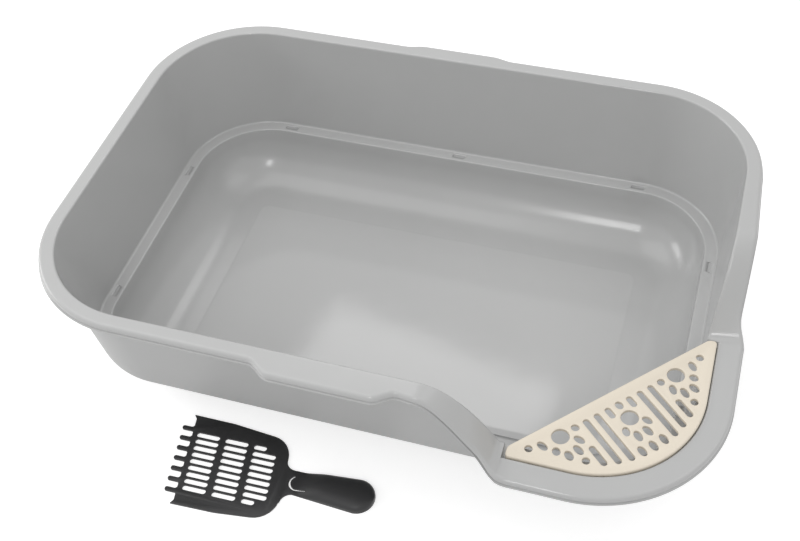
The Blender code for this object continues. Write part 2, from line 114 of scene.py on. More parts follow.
def blend(share, first, second):
    return first + share * (second - first)


def splitVector(vector):
    node = addNode(vector.tree, "ShaderNodeSeparateXYZ", {0: vector})
    return [wire(vector.tree, node, i) for i in range(3)]


def joinVector(x, y, z):
    return shade(x.tree, "CombineXYZ", {0: x, 1: y, 2: z})


def newTree(name, kind, inputs, outputs):
    tree = bpy.data.node_groups.new(name, kind + "NodeTree")
    for side, sockets in (("INPUT", inputs), ("OUTPUT", outputs)):
        for label, data, *value in sockets:
            socket = tree.interface.new_socket(label, in_out=side, socket_type="NodeSocket" + data)
            if value:
                socket.default_value = value[0]
    return tree, tree.nodes.new("NodeGroupInput"), tree.nodes.new("NodeGroupOutput")


def finishTree(tree, geometry, source, result):
    # real geometry with its material, which every piece's tree ends in
    real = step(tree, "RealizeInstances", {"Geometry": geometry})
    finished = step(tree, "SetMaterial", {"Geometry": real, "Material": source.outputs["Plastic"]})
    tree.links.new(finished, result.inputs[0])
    return tree


def readAttribute(tree, name, dataType="FLOAT"):
    return Wire(tree, step(tree, "InputNamedAttribute", {"Name": name}, data_type=dataType))


def readVector(tree, name):
    return splitVector(readAttribute(tree, name, "FLOAT_VECTOR"))


def storeAttribute(tree, geometry, name, value, dataType="FLOAT"):
    inputs = {"Geometry": geometry, "Name": name, "Value": value}
    return step(tree, "StoreNamedAttribute", inputs, data_type=dataType, domain="POINT")


def writeAttribute(mesh, name, values, dataType="FLOAT"):
    layer = mesh.attributes.new(name, dataType, "POINT")
    for item, value in zip(layer.data, values):
        setattr(item, "value" if dataType == "FLOAT" else "vector", value)


def runTree(piece, tree, values):
    modifier = piece.modifiers.new(tree.name, "NODES")
    modifier.node_group = tree
    for socket in tree.interface.items_tree:
        if socket.in_out == "INPUT" and socket.name in values:
            modifier[socket.identifier] = values[socket.name]


openingColumns = ("openingLength", "openingWidth", "openingLean", "openingStraight")
helperAttributes = (
    "plainSpot", "seatedSpot", "outerShare", "middleShare", "fallOuter", "fallInner", "rebated",
    "swell", "tuck", "rimSpot", "rimNormal", "openingSpot", "unitSpot", *openingColumns,
)


def settle(piece, helpers=()):
    # the modified shape becomes the piece's own plain mesh, without what only the tree needed
    bpy.context.view_layer.update()
    graph = bpy.context.evaluated_depsgraph_get()
    mesh = bpy.data.meshes.new_from_object(piece.evaluated_get(graph), depsgraph=graph)
    piece.modifiers.clear()
    piece.data = mesh
    mesh.name = piece.name
    mesh.transform(piece.matrix_world)
    piece.matrix_world = Matrix.Identity(4)
    for helper in helpers:
        bpy.data.objects.remove(helper)
    for name in helperAttributes:
        if name in mesh.attributes:
            mesh.attributes.remove(mesh.attributes[name])


def newPiece(name, mesh):
    piece = bpy.data.objects.new(name, mesh)
    bpy.context.scene.collection.objects.link(piece)
    return piece


def spread(start, end, steps):
    return [start + (end - start) * i / steps for i in range(steps + 1)]


quarter = math.pi / 2  # a quarter turn


def smoothStep(t):
    t = min(1.0, max(0.0, t))
    return t * t * (3.0 - 2.0 * t)


# The pan: its section, drawn once, is carried round the rim line by Geometry Nodes

pan = {
    "rimLength": 0.6,
    "rimWidth": 0.411,
    "rimHeight": 0.17,
    "cornerRadius": 0.107,
    "wall": 0.0025,
    "lipWidth": 0.0139,
    "ledgeHeight": 0.057,
    "ledgeOuterInset": 0.023,
    "frontTuck": 0.0086,
    "shelfDrop": 0.074,
    "shelfSwell": 0.0105,
    "sideSwell": 0.003,
    "rampSwell": 0.0025,
    "rampSwellStart": 0.095,
    "rampSwellRun": 0.03,
    "tipX": 0.138,
    "tipY": -0.0335,
    "rampStart": 0.068,
    "rampEnd": 0.0085,
    "swellStart": 0.02,
    "swellEnd": 0.001,
    "innerStart": 0.068,
    "innerEnd": 0.0055,
    "rebateDepth": 0.0043,
    "rebateEnd": 0.0006,
    "rebateSlope": 0.0004,
    "frontGripSwell": 0.011,
    "frontGripHalfLength": 0.063,
    "frontGripOffset": 0.005,
    "backGripSwell": 0.0037,
    "backGripHalfLength": 0.0552,
    "backGripOffset": 0.0065,
    "gripBlend": 0.0207,
    "stationStep": 0.0026,
    "tolerance": 0.001,
    "mergeDistance": 0.00002,
    "section": {  # what only shapes the section, and is no input of the tree
        "lipInnerRounding": 0.0018,
        "lipOuterRounding": 0.0034,
        "flangeDrop": 0.0076,
        "flangeThickness": 0.0022,
        "flangeRounding": 0.0006,
        "hemReach": 0.001,
        "hemHeight": 0.0014,
        "hemRounding": 0.0002,
        "grooveHeight": 0.0014,
        "grooveDepth": 0.0008,
        "grooveSlope": 0.65,  # where its upper slope starts, as a share of its height
        "ledgeInnerInset": 0.0353,
        "ledgeEdgeRounding": 0.0014,
        "ledgeFootRounding": 0.002,
        "undersideRounding": 0.0024,
        "wallLean": 0.0007,
        "filletRadius": 0.045,
        "floorRise": 0.0013,
        "floorInset": 0.097,
        "rebateInset": 0.011,
        "rebateFootRounding": 0.0006,
        "rebateEdgeRounding": 0.0004,
    },
}

floorShares = (1.0, 0.86, 0.7, 0.54, 0.38, 0.24, 0.12, 0.05, 0.01, 0.0)  # rings over the panel
undersideShares = (0.0, 0.05, 0.4, 1.0)
ringRuns = (0.001, 0.006, 0.012)  # rings past the panel's edge
cornerSteps = 64
spareStep = 0.0012  # keeps the plain section's point count equal to the rebated one's
flatSupport = 0.0006  # a point this far from each rounding keeps the flat beside it flat
supportShare = 0.6  # at most this share of the rounding


def wallInset(height):
    rise = (height - pan["ledgeHeight"]) / (pan["rimHeight"] - pan["ledgeHeight"])
    return pan["ledgeOuterInset"] + (pan["lipWidth"] - pan["ledgeOuterInset"]) * rise


def roundedCorner(before, corner, after, radius, steps):
    # arc points that replace a corner of a line, or the bare corner where the radius is zero
    if not radius:
        return [corner] * (steps + 1)
    back = (before - corner).normalized()
    ahead = (after - corner).normalized()
    half = back.angle(ahead) / 2
    centre = corner + (back + ahead).normalized() * (radius / math.sin(half))
    start = corner + back * (radius / math.tan(half)) - centre
    turn = start.angle_signed(corner + ahead * (radius / math.tan(half)) - centre)
    return [centre + start @ Matrix.Rotation(turn * i / steps, 2) for i in range(steps + 1)]


def panSection(rebated):
    # rows of inset, height, whether it follows the wall, share of the outer edge and share of the
    # floor's middle, from the floor up, over the lip and back under the floor
    p = {**pan, **pan["section"]}
    top, ledge, wall = p["rimHeight"], p["ledgeHeight"], p["wall"]
    seat = top - p["rebateDepth"]
    lowerInset = p["ledgeInnerInset"] + p["wallLean"]
    filletInset = lowerInset + p["filletRadius"]
    filletHeight = wall + p["floorRise"] + p["filletRadius"]
    rows = []

    def arc(radius, start, end, steps):
        for angle in spread(start, end, steps):
            inset = filletInset - radius * math.cos(angle)
            rows.append((inset, filletHeight + radius * math.sin(angle), 1, 0, 0))

    rows += [(p["floorInset"], wall, 0, 0, share) for share in floorShares]
    slope = p["floorRise"] / (p["floorInset"] - filletInset)
    rows += [(p["floorInset"] - run, wall + run * slope, 0, 0, 0) for run in ringRuns]
    arc(p["filletRadius"], -quarter, 0.0, 16)

    if rebated:
        seatRows = [
            (wallInset(seat), seat, p["rebateFootRounding"], 1, 0),
            (p["rebateInset"], seat, p["rebateEdgeRounding"], 0, 0),
        ]
        lipInner = p["rebateInset"]
        under = [
            (p["rebateInset"] - wall, top - wall, 0.0, 0, 0),
            (p["rebateInset"] - wall, seat - wall, 0.0, 0, 0),
            (wallInset(seat) - wall, seat - wall, 0.0, 1, 0),
        ]
    else:
        seatRows = [(wallInset(level), level, 0.0, 1, 0) for level in (seat, seat + spareStep)]
        lipInner = p["lipWidth"]
        levels = (top - wall, seat - wall / 2, seat - wall)
        under = [(wallInset(level) - wall, level, 0.0, 1, 0) for level in levels]
    flangeFoot = top - p["flangeDrop"]
    hemTop = flangeFoot + p["hemHeight"]
    grooveDepth, hemRounding = p["grooveDepth"], p["hemRounding"]
    corners = [  # the last number is the arc's steps
        (lowerInset, filletHeight, 0.0, 1, 0, 1),
        (p["ledgeInnerInset"], ledge, p["ledgeEdgeRounding"], 1, 0, 5),
        (p["ledgeOuterInset"], ledge, p["ledgeFootRounding"], 1, 0, 5),
        (*seatRows[0], 4),
        (*seatRows[1], 3),
        (lipInner, top, p["lipInnerRounding"], 0 if rebated else 1, 0, 6),
        (0.0, top, p["lipOuterRounding"], 0, 1, 6),
        (0.0, hemTop + p["grooveHeight"], hemRounding, 0, 1, 2),
        (grooveDepth, hemTop + p["grooveHeight"] * p["grooveSlope"], hemRounding, 0, 1, 2),
        (grooveDepth, hemTop, hemRounding, 0, 1, 2),
        (-p["hemReach"], flangeFoot + p["hemHeight"] / 2, hemRounding, 0, 1, 3),
        (-p["hemReach"], flangeFoot, hemRounding, 0, 1, 3),
        (p["flangeThickness"], flangeFoot, p["flangeRounding"], 0, 1, 3),
        (p["flangeThickness"], top - wall, p["flangeRounding"], 0, 1, 2),
        *((*row, 1) for row in under),
        (p["ledgeOuterInset"] - wall, ledge - wall, p["undersideRounding"], 1, 0, 5),
        (lowerInset - wall, ledge - wall, p["flangeRounding"], 1, 0, 2),
        (lowerInset - wall, filletHeight, 0.0, 1, 0, 1),
    ]
    for i in range(1, len(corners) - 1):
        before, corner, after = (Vector(corners[j][:2]) for j in (i - 1, i, i + 1))
        radius, follows, outer, steps = corners[i][2:]
        points = roundedCorner(before, corner, after, radius, steps)
        if steps > 1:
            reach = min(flatSupport, radius * supportShare)
            points.insert(0, points[0] + (before - corner).normalized() * reach)
            points.append(points[-1] + (after - corner).normalized() * reach)
        rows += [(point.x, point.y, follows, outer, 0) for point in points]
    arc(p["filletRadius"] + wall, 0.0, -quarter, 12)
    rows += [(p["floorInset"], 0.0, 0, 0, share) for share in undersideShares]
    return rows


def panTree():
    sizeNames = [name for name in pan if name != "section"]
    inputs = [("Section", "Geometry"), ("Plastic", "Material")]
    inputs += [(name, "Float", pan[name]) for name in sizeNames]
    tree, source, result = newTree("sweepPanSection", "Geometry", inputs, [("Pan", "Geometry")])
    size = {name: wire(tree, source, name) for name in sizeNames}

    # the rim line, evenly stepped
    sides = {"Width": size["rimLength"], "Height": size["rimWidth"]}
    box = step(tree, "CurvePrimitiveQuadrilateral", sides)
    turns = {"Curve": box, "Count": cornerSteps, "Radius": size["cornerRadius"]}
    filleted = step(tree, "FilletCurve", turns, mode="POLY")
    spacing = {"Curve": filleted, "Length": size["stationStep"]}
    stepped = step(tree, "ResampleCurve", spacing, mode="LENGTH")

    # how far each station lies past the grate's tips
    spot = Wire(tree, step(tree, "InputPosition"))
    x, y = splitVector(spot)[:2]
    frontPast, sidePast = x - size["tipX"], size["tipY"] - y
    past = calc("MINIMUM", frontPast, sidePast)

    # the two stations beside each end of the rebate are drawn to it, so that it ends squarely
    onFront = frontPast < sidePast
    fromEnd = past + size["rebateEnd"]
    near = abs(fromEnd) < size["stationStep"]
    drawn = calc("SIGN", fromEnd) * calc("MINIMUM", abs(fromEnd), size["rebateSlope"])
    shift = near * (drawn - fromEnd)
    offset = joinVector(shift * onFront, -(shift * (1.0 - onFront)), 0.0)
    stations = step(tree, "SetPosition", {"Geometry": stepped, "Offset": offset})

    # how far the rim falls, widens and tucks in at each station
    tx, ty = splitVector(Wire(tree, step(tree, "InputTangent")))[:2]
    facing = calc("SIGN", ty * x - tx * y)
    normal = joinVector(ty * facing, -(tx * facing), 0.0)
    onSide = sidePast < frontPast
    run = (past + size["rampStart"]) / (size["rampStart"] + size["rampEnd"])
    innerRun = clamp01((past + size["innerStart"]) / (size["innerStart"] - size["innerEnd"]))
    swellBase = 0.0
    for name, side in (("frontGrip", -0.5), ("backGrip", 0.5)):
        fromMiddle = abs(x + size[name + "Offset"])
        gripped = smooth01((size[name + "HalfLength"] - fromMiddle) / size["gripBlend"])
        onEdge = abs(y - size["rimWidth"] * side) < size["tolerance"]
        swellBase = swellBase + size[name + "Swell"] * gripped * onEdge
    sideRun = size["rimWidth"] * 0.5 - size["cornerRadius"] - size["tipY"]
    alongSide = clamp01((sidePast + sideRun) / (sideRun - size["rampStart"]))
    swellBase = swellBase + size["sideSwell"] * onSide * alongSide
    atRamp = smooth01((frontPast + size["rampSwellStart"]) / size["rampSwellRun"])
    swellBase = swellBase + size["rampSwell"] * atRamp * (1.0 - onSide)
    swellRun = (past + size["swellStart"]) / (size["swellStart"] + size["swellEnd"])
    for name, value in (
        ("fallOuter", size["shelfDrop"] * smooth01(run)),
        ("fallInner", size["shelfDrop"] * innerRun * innerRun),
        ("rebated", past > -size["rebateEnd"]),
        ("swell", blend(smooth01(swellRun), swellBase, size["shelfSwell"])),
        ("tuck", size["frontTuck"] * smooth01(tx * facing)),  # most where the wall faces the front
    ):
        stations = storeAttribute(tree, stations, name, value)
    stations = storeAttribute(tree, stations, "rimSpot", spot, "FLOAT_VECTOR")
    stations = storeAttribute(tree, stations, "rimNormal", normal, "FLOAT_VECTOR")

    # sweep, then put each point where its station's rim asks
    chain = step(tree, "MeshToCurve", {"Mesh": source.outputs["Section"]})
    swept = step(tree, "CurveToMesh", {"Curve": stations, "Profile Curve": chain})
    plain, seated = readVector(tree, "plainSpot"), readVector(tree, "seatedSpot")
    isSeated = readAttribute(tree, "rebated")
    inset0, follows, height0 = (blend(isSeated, a, b) for a, b in zip(plain, seated))
    outerShare = readAttribute(tree, "outerShare")
    fall = blend(outerShare, readAttribute(tree, "fallInner"), readAttribute(tree, "fallOuter"))
    rigid = size["rimHeight"] - size["rebateDepth"] - size["wall"] - size["tolerance"]
    dropShare = clamp01((height0 - size["ledgeHeight"]) / (rigid - size["ledgeHeight"]))
    height = height0 - fall * dropShare
    tall = size["rimHeight"] - size["ledgeHeight"]

    def lean(level, foot):
        rise = calc("MAXIMUM", level - size["ledgeHeight"], 0.0) / tall
        return foot + (size["lipWidth"] - foot) * rise

    foot = size["ledgeOuterInset"]
    moved = lean(height, foot + readAttribute(tree, "tuck")) - lean(height0, foot)
    inset = inset0 + follows * moved - outerShare * readAttribute(tree, "swell")
    sx, sy, sz = readVector(tree, "rimSpot")
    nx, ny, nz = readVector(tree, "rimNormal")
    toMiddle = 1.0 - readAttribute(tree, "middleShare")
    place = joinVector((sx - nx * inset) * toMiddle, (sy - ny * inset) * toMiddle, height)
    placed = step(tree, "SetPosition", {"Geometry": swept, "Position": place})
    merging = {"Geometry": placed, "Distance": size["mergeDistance"]}
    merged = step(tree, "MergeByDistance", merging)
    shaded = step(tree, "SetShadeSmooth", {"Geometry": merged})
    return finishTree(tree, shaded, source, result)


def makePan(material):
    plain, seated = panSection(False), panSection(True)
    mesh = bpy.data.meshes.new("litterPanFine")
    points = [(row[0] + i * 0.001, 0, row[1]) for i, row in enumerate(plain)]  # spaced apart
    mesh.from_pydata(points, [(i, i + 1) for i in range(len(plain) - 1)], [])
    for name, rows in (("plainSpot", plain), ("seatedSpot", seated)):
        writeAttribute(mesh, name, [(row[0], row[2], row[1]) for row in rows], "FLOAT_VECTOR")
    writeAttribute(mesh, "outerShare", [row[3] for row in plain])
    writeAttribute(mesh, "middleShare", [row[4] for row in plain])
    piece = newPiece("litterPanFine", mesh)
    runTree(piece, panTree(), {**pan, "Plastic": material})
    settle(piece)
    cutGrooves(piece, material)
    return piece


# Openings that repeat: each is a point with its length, width and lean, and the tree cuts them all
# from one piece

cutReach = 0.004  # how far a cutter reaches past the surface
openingSides = 30


def openingsTree():
    inputs = [
        ("Piece", "Geometry"), ("Openings", "Object"), ("cutBottom", "Float", 0.0),
        ("cutTop", "Float", 0.01), ("Plastic", "Material"),
    ]
    tree, source, result = newTree("cutOpenings", "Geometry", inputs, [("Piece", "Geometry")])
    marks = {"Object": source.outputs["Openings"]}
    points = addNode(tree, "GeometryNodeObjectInfo", marks, transform_space="ORIGINAL")
    spot = Wire(tree, step(tree, "InputPosition"))
    marked = storeAttribute(tree, points.outputs["Geometry"], "openingSpot", spot, "FLOAT_VECTOR")
    unit = step(tree, "MeshCylinder", {"Vertices": openingSides, "Radius": 1.0, "Depth": 1.0})
    shape = storeAttribute(tree, unit, "unitSpot", spot, "FLOAT_VECTOR")
    copies = step(tree, "InstanceOnPoints", {"Points": marked, "Instance": shape})
    cutters = step(tree, "RealizeInstances", {"Geometry": copies})
    ux, uy, uz = readVector(tree, "unitSpot")
    cx, cy = readVector(tree, "openingSpot")[:2]
    length, width, lean, straight = (readAttribute(tree, name) for name in openingColumns)
    roundAlong = ux * length * 0.5
    slotAlong = ux * width * 0.5 + calc("SIGN", ux) * (length - width) * 0.5
    along = blend(straight, roundAlong, slotAlong)
    across = uy * width * 0.5
    cosine, sine = calc("COSINE", lean), calc("SINE", lean)
    x = cx + along * cosine - across * sine
    y = cy + along * sine + across * cosine
    z = blend(uz + 0.5, wire(tree, source, "cutBottom"), wire(tree, source, "cutTop"))
    shaped = step(tree, "SetPosition", {"Geometry": cutters, "Position": joinVector(x, y, z)})
    meshes = {"Mesh 1": source.outputs["Piece"], "Mesh 2": shaped}
    cut = step(tree, "MeshBoolean", meshes, operation="DIFFERENCE", solver="EXACT")
    return finishTree(tree, cut, source, result)


def cutOpenings(piece, name, openings, bottom, top, material):
    # openings are (x, y, length, width, lean, straight), straight being 1 for a slot, 0 for an oval
    mesh = bpy.data.meshes.new(name)
    mesh.from_pydata([(x, y, 0.0) for x, y, *rest in openings], [], [])
    for column, label in enumerate(openingColumns, start=2):
        writeAttribute(mesh, label, [opening[column] for opening in openings])
    points = newPiece(name, mesh)
    points.hide_render = True
    sizes = {"cutBottom": bottom, "cutTop": top + cutReach}
    runTree(piece, cutter, {"Openings": points, "Plastic": material, **sizes})
    return points


cutter = openingsTree()


def cleanMesh(piece, distance=0.00001):
    # joins points that the cuts left on top of each other and drops faces with no area
    shape = bmesh.new()
    shape.from_mesh(piece.data)
    bmesh.ops.remove_doubles(shape, verts=shape.verts, dist=distance)
    bmesh.ops.dissolve_degenerate(shape, edges=shape.edges, dist=distance / 10)
    shape.to_mesh(piece.data)
    shape.free()


def roundEdges(piece, width, segments, fromAngle=60):
    modifier = piece.modifiers.new("edgeRounding", "BEVEL")
    modifier.width = width
    modifier.segments = segments
    modifier.limit_method = "ANGLE"
    modifier.angle_limit = math.radians(fromAngle)
    modifier.harden_normals = True


# Small grooves in the pan's ledge

grooves = {
    "length": 0.013,
    "width": 0.003,
    "depth": 0.0006,
    "backLong": 0.005,
    "backShort": 0.0125,
}


def cutGrooves(piece, material):
    middle = (pan["ledgeOuterInset"] + pan["section"]["ledgeInnerInset"]) / 2
    halfLength, halfWidth = pan["rimLength"] / 2, pan["rimWidth"] / 2
    longX = halfLength - pan["cornerRadius"] - grooves["backLong"]
    shortY = halfWidth - pan["cornerRadius"] - grooves["backShort"]
    size = (grooves["length"], grooves["width"])
    marks = []
    for y in (halfWidth - middle, middle + pan["frontTuck"] - halfWidth):
        marks += [(x, y, *size, 0.0, 1.0) for x in (-longX, 0.0, longX)]
    for x in (halfLength - middle, middle - halfLength):
        marks += [(x, y, *size, quarter, 1.0) for y in (-shortY, shortY)]
    top = pan["ledgeHeight"]
    points = cutOpenings(piece, "ledgeGrooveMarks", marks, top - grooves["depth"], top, material)
    settle(piece, [points])
    cleanMesh(piece)


# The grate, in its own frame: X along the straight edge, Y away from the entry corner

grate = {
    "height": 0.006,
    "plateThickness": 0.0034,
    "skirtThickness": 0.0024,
    "baseHeight": 0.092,
    "inset": 0.0116,
    "frontEnd": 0.14,
    "sideEnd": -0.0345,
    "frontTipWidth": 0.0095,
    "sideTipWidth": 0.0072,
    "tipRounding": 0.003,
    "chordRounding": 0.007,
    "edgeRounding": 0.0014,
    "holeRounding": 0.0006,
    "middleOffset": 0.0028,
    "holePitch": 0.01087,
    "holeWidth": 0.0057,
    "firstRow": 0.0117,
    "shortRowEnd": 0.023,
    "outerStart": 0.0352,
    "outerMargin": 0.009,
    "padWidth": 0.0152,
    "padHeight": 0.0146,
    "middlePadRow": 0.0294,
    "sidePadRow": 0.015,
    "sidePadOffset": 0.0585,
    "toeLength": 0.0102,
    "toeWidth": 0.0064,
    "middleDotLength": 1.25,  # in toe widths
    "middleDotWidth": 1.15,  # in hole widths
    "dotWidth": 0.0066,
    "outerDotColumn": 5,
    "outerDotRow": 0.0446,
    "endDotColumn": 8,
    "endDotRow": 0.0112,
    "endOvalColumn": 7,
    "endOvalLean": 1.35,
    # each toe as (along, row, length, width), in pad widths
    "middleToes": (
        (-0.7, 0.62, 0.6, 0.42), (-0.32, 1.17, 0.7, 0.43),
        (0.32, 1.17, 0.7, 0.43), (0.7, 0.62, 0.6, 0.42),
    ),
    "sideToes": (
        (-0.99, -0.05, 0.46, 0.42), (-0.74, 0.69, 0.66, 0.41), (-0.33, 1.19, 0.7, 0.42),
        (0.3, 1.22, 0.64, 0.45), (0.72, 0.66, 0.52, 0.45),
    ),
}


def roundedOutline(corners, steps):
    outline = []
    for i, (point, radius) in enumerate(corners):
        before, after = Vector(corners[i - 1][0]), Vector(corners[(i + 1) % len(corners)][0])
        if radius:
            outline += roundedCorner(before, Vector(point), after, radius, steps)
        else:
            outline.append(Vector(point))
    return outline


def grateFrame():
    frontY = -pan["rimWidth"] / 2 + grate["inset"] + grate["frontTipWidth"]
    front = Vector((grate["frontEnd"], frontY))
    side = Vector((pan["rimLength"] / 2 - grate["inset"] - grate["sideTipWidth"], grate["sideEnd"]))
    along = (side - front).normalized()
    return (front + side) / 2 - along * grate["middleOffset"], along, Vector((along.y, -along.x))


def toGrate(point, place):
    middle, along, across = place
    offset = Vector(point) - middle
    return Vector((offset.dot(along), -offset.dot(across)))


def grateOutline(place, margin=0.0):
    # the outline, or the same drawn in by a margin
    halfLength, halfWidth, radius = pan["rimLength"] / 2, pan["rimWidth"] / 2, pan["cornerRadius"]
    inset = grate["inset"] + margin
    front, side = inset - halfWidth, halfLength - inset
    frontEnd, sideEnd = grate["frontEnd"] + margin, grate["sideEnd"] - margin
    middle, along, across = place
    straight = middle + across * margin
    centre = Vector((halfLength - radius, radius - halfWidth))
    tipRounding, chordRounding = grate["tipRounding"] - margin, grate["chordRounding"] - margin
    corners = [
        (straight + along * ((frontEnd - straight.x) / along.x), chordRounding),
        ((frontEnd, front), tipRounding),
    ]
    for angle in spread(-quarter, 0.0, 48):
        reach = Vector((math.cos(angle), math.sin(angle))) * (radius - inset)
        corners.append((centre + reach, 0.0))
    corners += [
        ((side, sideEnd), tipRounding),
        (straight + along * ((sideEnd - straight.y) / along.y), chordRounding),
    ]
    return [toGrate(point, place) for point in roundedOutline(corners, 8)]


def curvedRow(x, place):
    # how far from the straight edge the curved edge lies here
    radius = pan["cornerRadius"]
    centre = toGrate((pan["rimLength"] / 2 - radius, radius - pan["rimWidth"] / 2), place)
    return math.sqrt((radius - grate["inset"]) ** 2 - (x - centre.x) ** 2) - centre.y


def slotBetween(x, first, last):
    return (x, -(first + last) / 2, last - first, grate["holeWidth"], quarter, 1.0)


def pawOpenings(pad, side, toes):
    width = grate["padWidth"]
    made = [(side * pad.x, -pad.y, width, grate["padHeight"], 0.0, 0.0)]
    for alongShare, rowShare, lengthShare, widthShare in toes:
        offset = Vector((alongShare, rowShare)) * width
        lean = quarter + (math.atan2(offset.y, offset.x) - quarter) / 2
        spot = pad + offset
        if side < 0:
            lean = math.pi - lean
        made.append((side * spot.x, -spot.y, lengthShare * width, widthShare * width, -lean, 0.0))
    return made


def grateOpenings(place):
    g = grate
    pitch = g["holePitch"]
    made = []
    for column in (-4, -3, -2, 2, 3, 4):
        x = column * pitch
        first = g["outerStart"] if abs(column) == 4 else g["firstRow"]
        made.append(slotBetween(x, first, curvedRow(x, place) - g["outerMargin"]))
    for column in (-1, 1):
        made.append(slotBetween(column * pitch, g["firstRow"], g["shortRowEnd"]))
    for column in (-1, 0, 1):
        x = column * pitch
        row = curvedRow(x, place) - g["outerMargin"] - g["toeLength"] / 2
        made.append((x, -row, g["toeLength"], g["toeWidth"], quarter, 0.0))
    dotSize = (g["toeWidth"] * g["middleDotLength"], g["holeWidth"] * g["middleDotWidth"])
    made.append((0.0, -g["sidePadRow"], *dotSize, quarter, 0.0))
    made += pawOpenings(Vector((0.0, g["middlePadRow"])), 1, g["middleToes"])
    ovalSize, dotSize = (g["toeLength"], g["toeWidth"]), (g["dotWidth"], g["dotWidth"])
    for side in (-1, 1):
        made += pawOpenings(Vector((g["sidePadOffset"], g["sidePadRow"])), side, g["sideToes"])
        ovalX, ovalLean = side * g["endOvalColumn"] * pitch, side * g["endOvalLean"]
        made.append((ovalX, -g["sidePadRow"], *ovalSize, ovalLean, 0.0))
        made.append((side * g["endDotColumn"] * pitch, -g["endDotRow"], *dotSize, 0.0, 0.0))
        made.append((side * g["outerDotColumn"] * pitch, -g["outerDotRow"], *dotSize, 0.0, 0.0))
    return made


def closedPiece(name, shape, material):
    bmesh.ops.recalc_face_normals(shape, faces=shape.faces)
    mesh = bpy.data.meshes.new(name)
    shape.to_mesh(mesh)
    shape.free()
    mesh.shade_smooth()
    mesh.materials.append(material)
    return newPiece(name, mesh)


def flatPlate(name, outline, bottom, top, material):
    shape = bmesh.new()
    base = [shape.verts.new((point.x, point.y, bottom)) for point in outline]
    roof = [shape.verts.new((point.x, point.y, top)) for point in outline]
    shape.faces.new(base)
    shape.faces.new(roof)
    for i in range(len(base)):
        j = (i + 1) % len(base)
        shape.faces.new((base[i], base[j], roof[j], roof[i]))
    return closedPiece(name, shape, material)


def join(piece, other, operation):
    modifier = piece.modifiers.new(other.name, "BOOLEAN")
    modifier.operation = operation
    modifier.solver = "EXACT"
    modifier.object = other
    other.parent = piece


def makeGrate(material):
    place = grateFrame()
    middle, along = place[:2]
    plate = flatPlate("cornerGrateFine", grateOutline(place), 0.0, grate["height"], material)
    plate.location = (middle.x, middle.y, grate["baseHeight"])
    plate.rotation_euler = (0.0, 0.0, math.atan2(along.y, along.x))
    underside = grateOutline(place, grate["skirtThickness"])
    hollowTop = grate["height"] - grate["plateThickness"]
    hollow = flatPlate("grateHollow", underside, -cutReach, hollowTop, material)
    roundEdges(plate, grate["edgeRounding"], 4)
    join(plate, hollow, "DIFFERENCE")
    openings = grateOpenings(place)
    points = cutOpenings(plate, "grateOpenings", openings, -cutReach, grate["height"], material)
    roundEdges(plate, grate["holeRounding"], 3)
    settle(plate, [points, hollow])
    return plate


# The scoop, in its own frame: X along the handle from its root, and the blade towards -X

scoop = {
    "thickness": 0.0018,
    "edgeRounding": 0.0005,
    "bladeLength": 0.108,
    "frontWidth": 0.0932,
    "backWidth": 0.08,
    "bulgePlace": 0.62,  # along the blade, where its side starts to curve in
    "bulgeWidth": 0.985,  # in front widths
    "cornerRadius": 0.022,
    "neckRadius": 0.011,
    "neckShare": 0.9,
    "rake": 0.15,
    "teeth": 7,
    "toothPitch": 0.0108,
    "toothWidth": 0.0042,
    "toothLength": 0.0112,
    "toothTip": 0.9,  # the tip's rounding, in half tooth widths
    "hornLength": 0.0027,
    "hornWidth": 0.0075,
    "slotRows": 9,
    "slotPitch": 0.00695,
    "slotOffset": -0.001,
    "slotWidth": 0.0051,
    "slotLength": 0.0226,
    "slotFrontMargin": 0.0046,
    "slotWeb": 0.0056,
    "halfSlot": 0.55,
    "handleLength": 0.0754,
    "rootWidth": 0.0236,
    "endWidth": 0.0328,
    "handleHeight": 0.0095,
    "leastHeight": 0.0005,
    "handleWall": 0.0024,
    "handleRise": 0.03,
    "handleOverlap": 0.2,  # how far the handle starts inside the blade, in neck radii
    "hollowSetback": 2.5,  # how far back its hollow starts, in handle walls
    "handleCrown": 0.6,  # lower is squarer across the handle
    "endFall": 0.35,  # share of its height that the round end loses
    "endTurn": 0.985,  # of a quarter turn, so that the last ring keeps some width
    "slitWidth": 0.0016,
    "tongueRadius": 0.0072,
    "tongueArm": 0.01,
    "tongueFront": 0.004,
    "tongueTurns": (125, 270),
    "root": (-0.0472, -0.2109),
    "turn": 1.4,
    "creaseAngle": 35,
}


def raked(point):
    return Vector((point[0] - scoop["rake"] * point[1], point[1]))


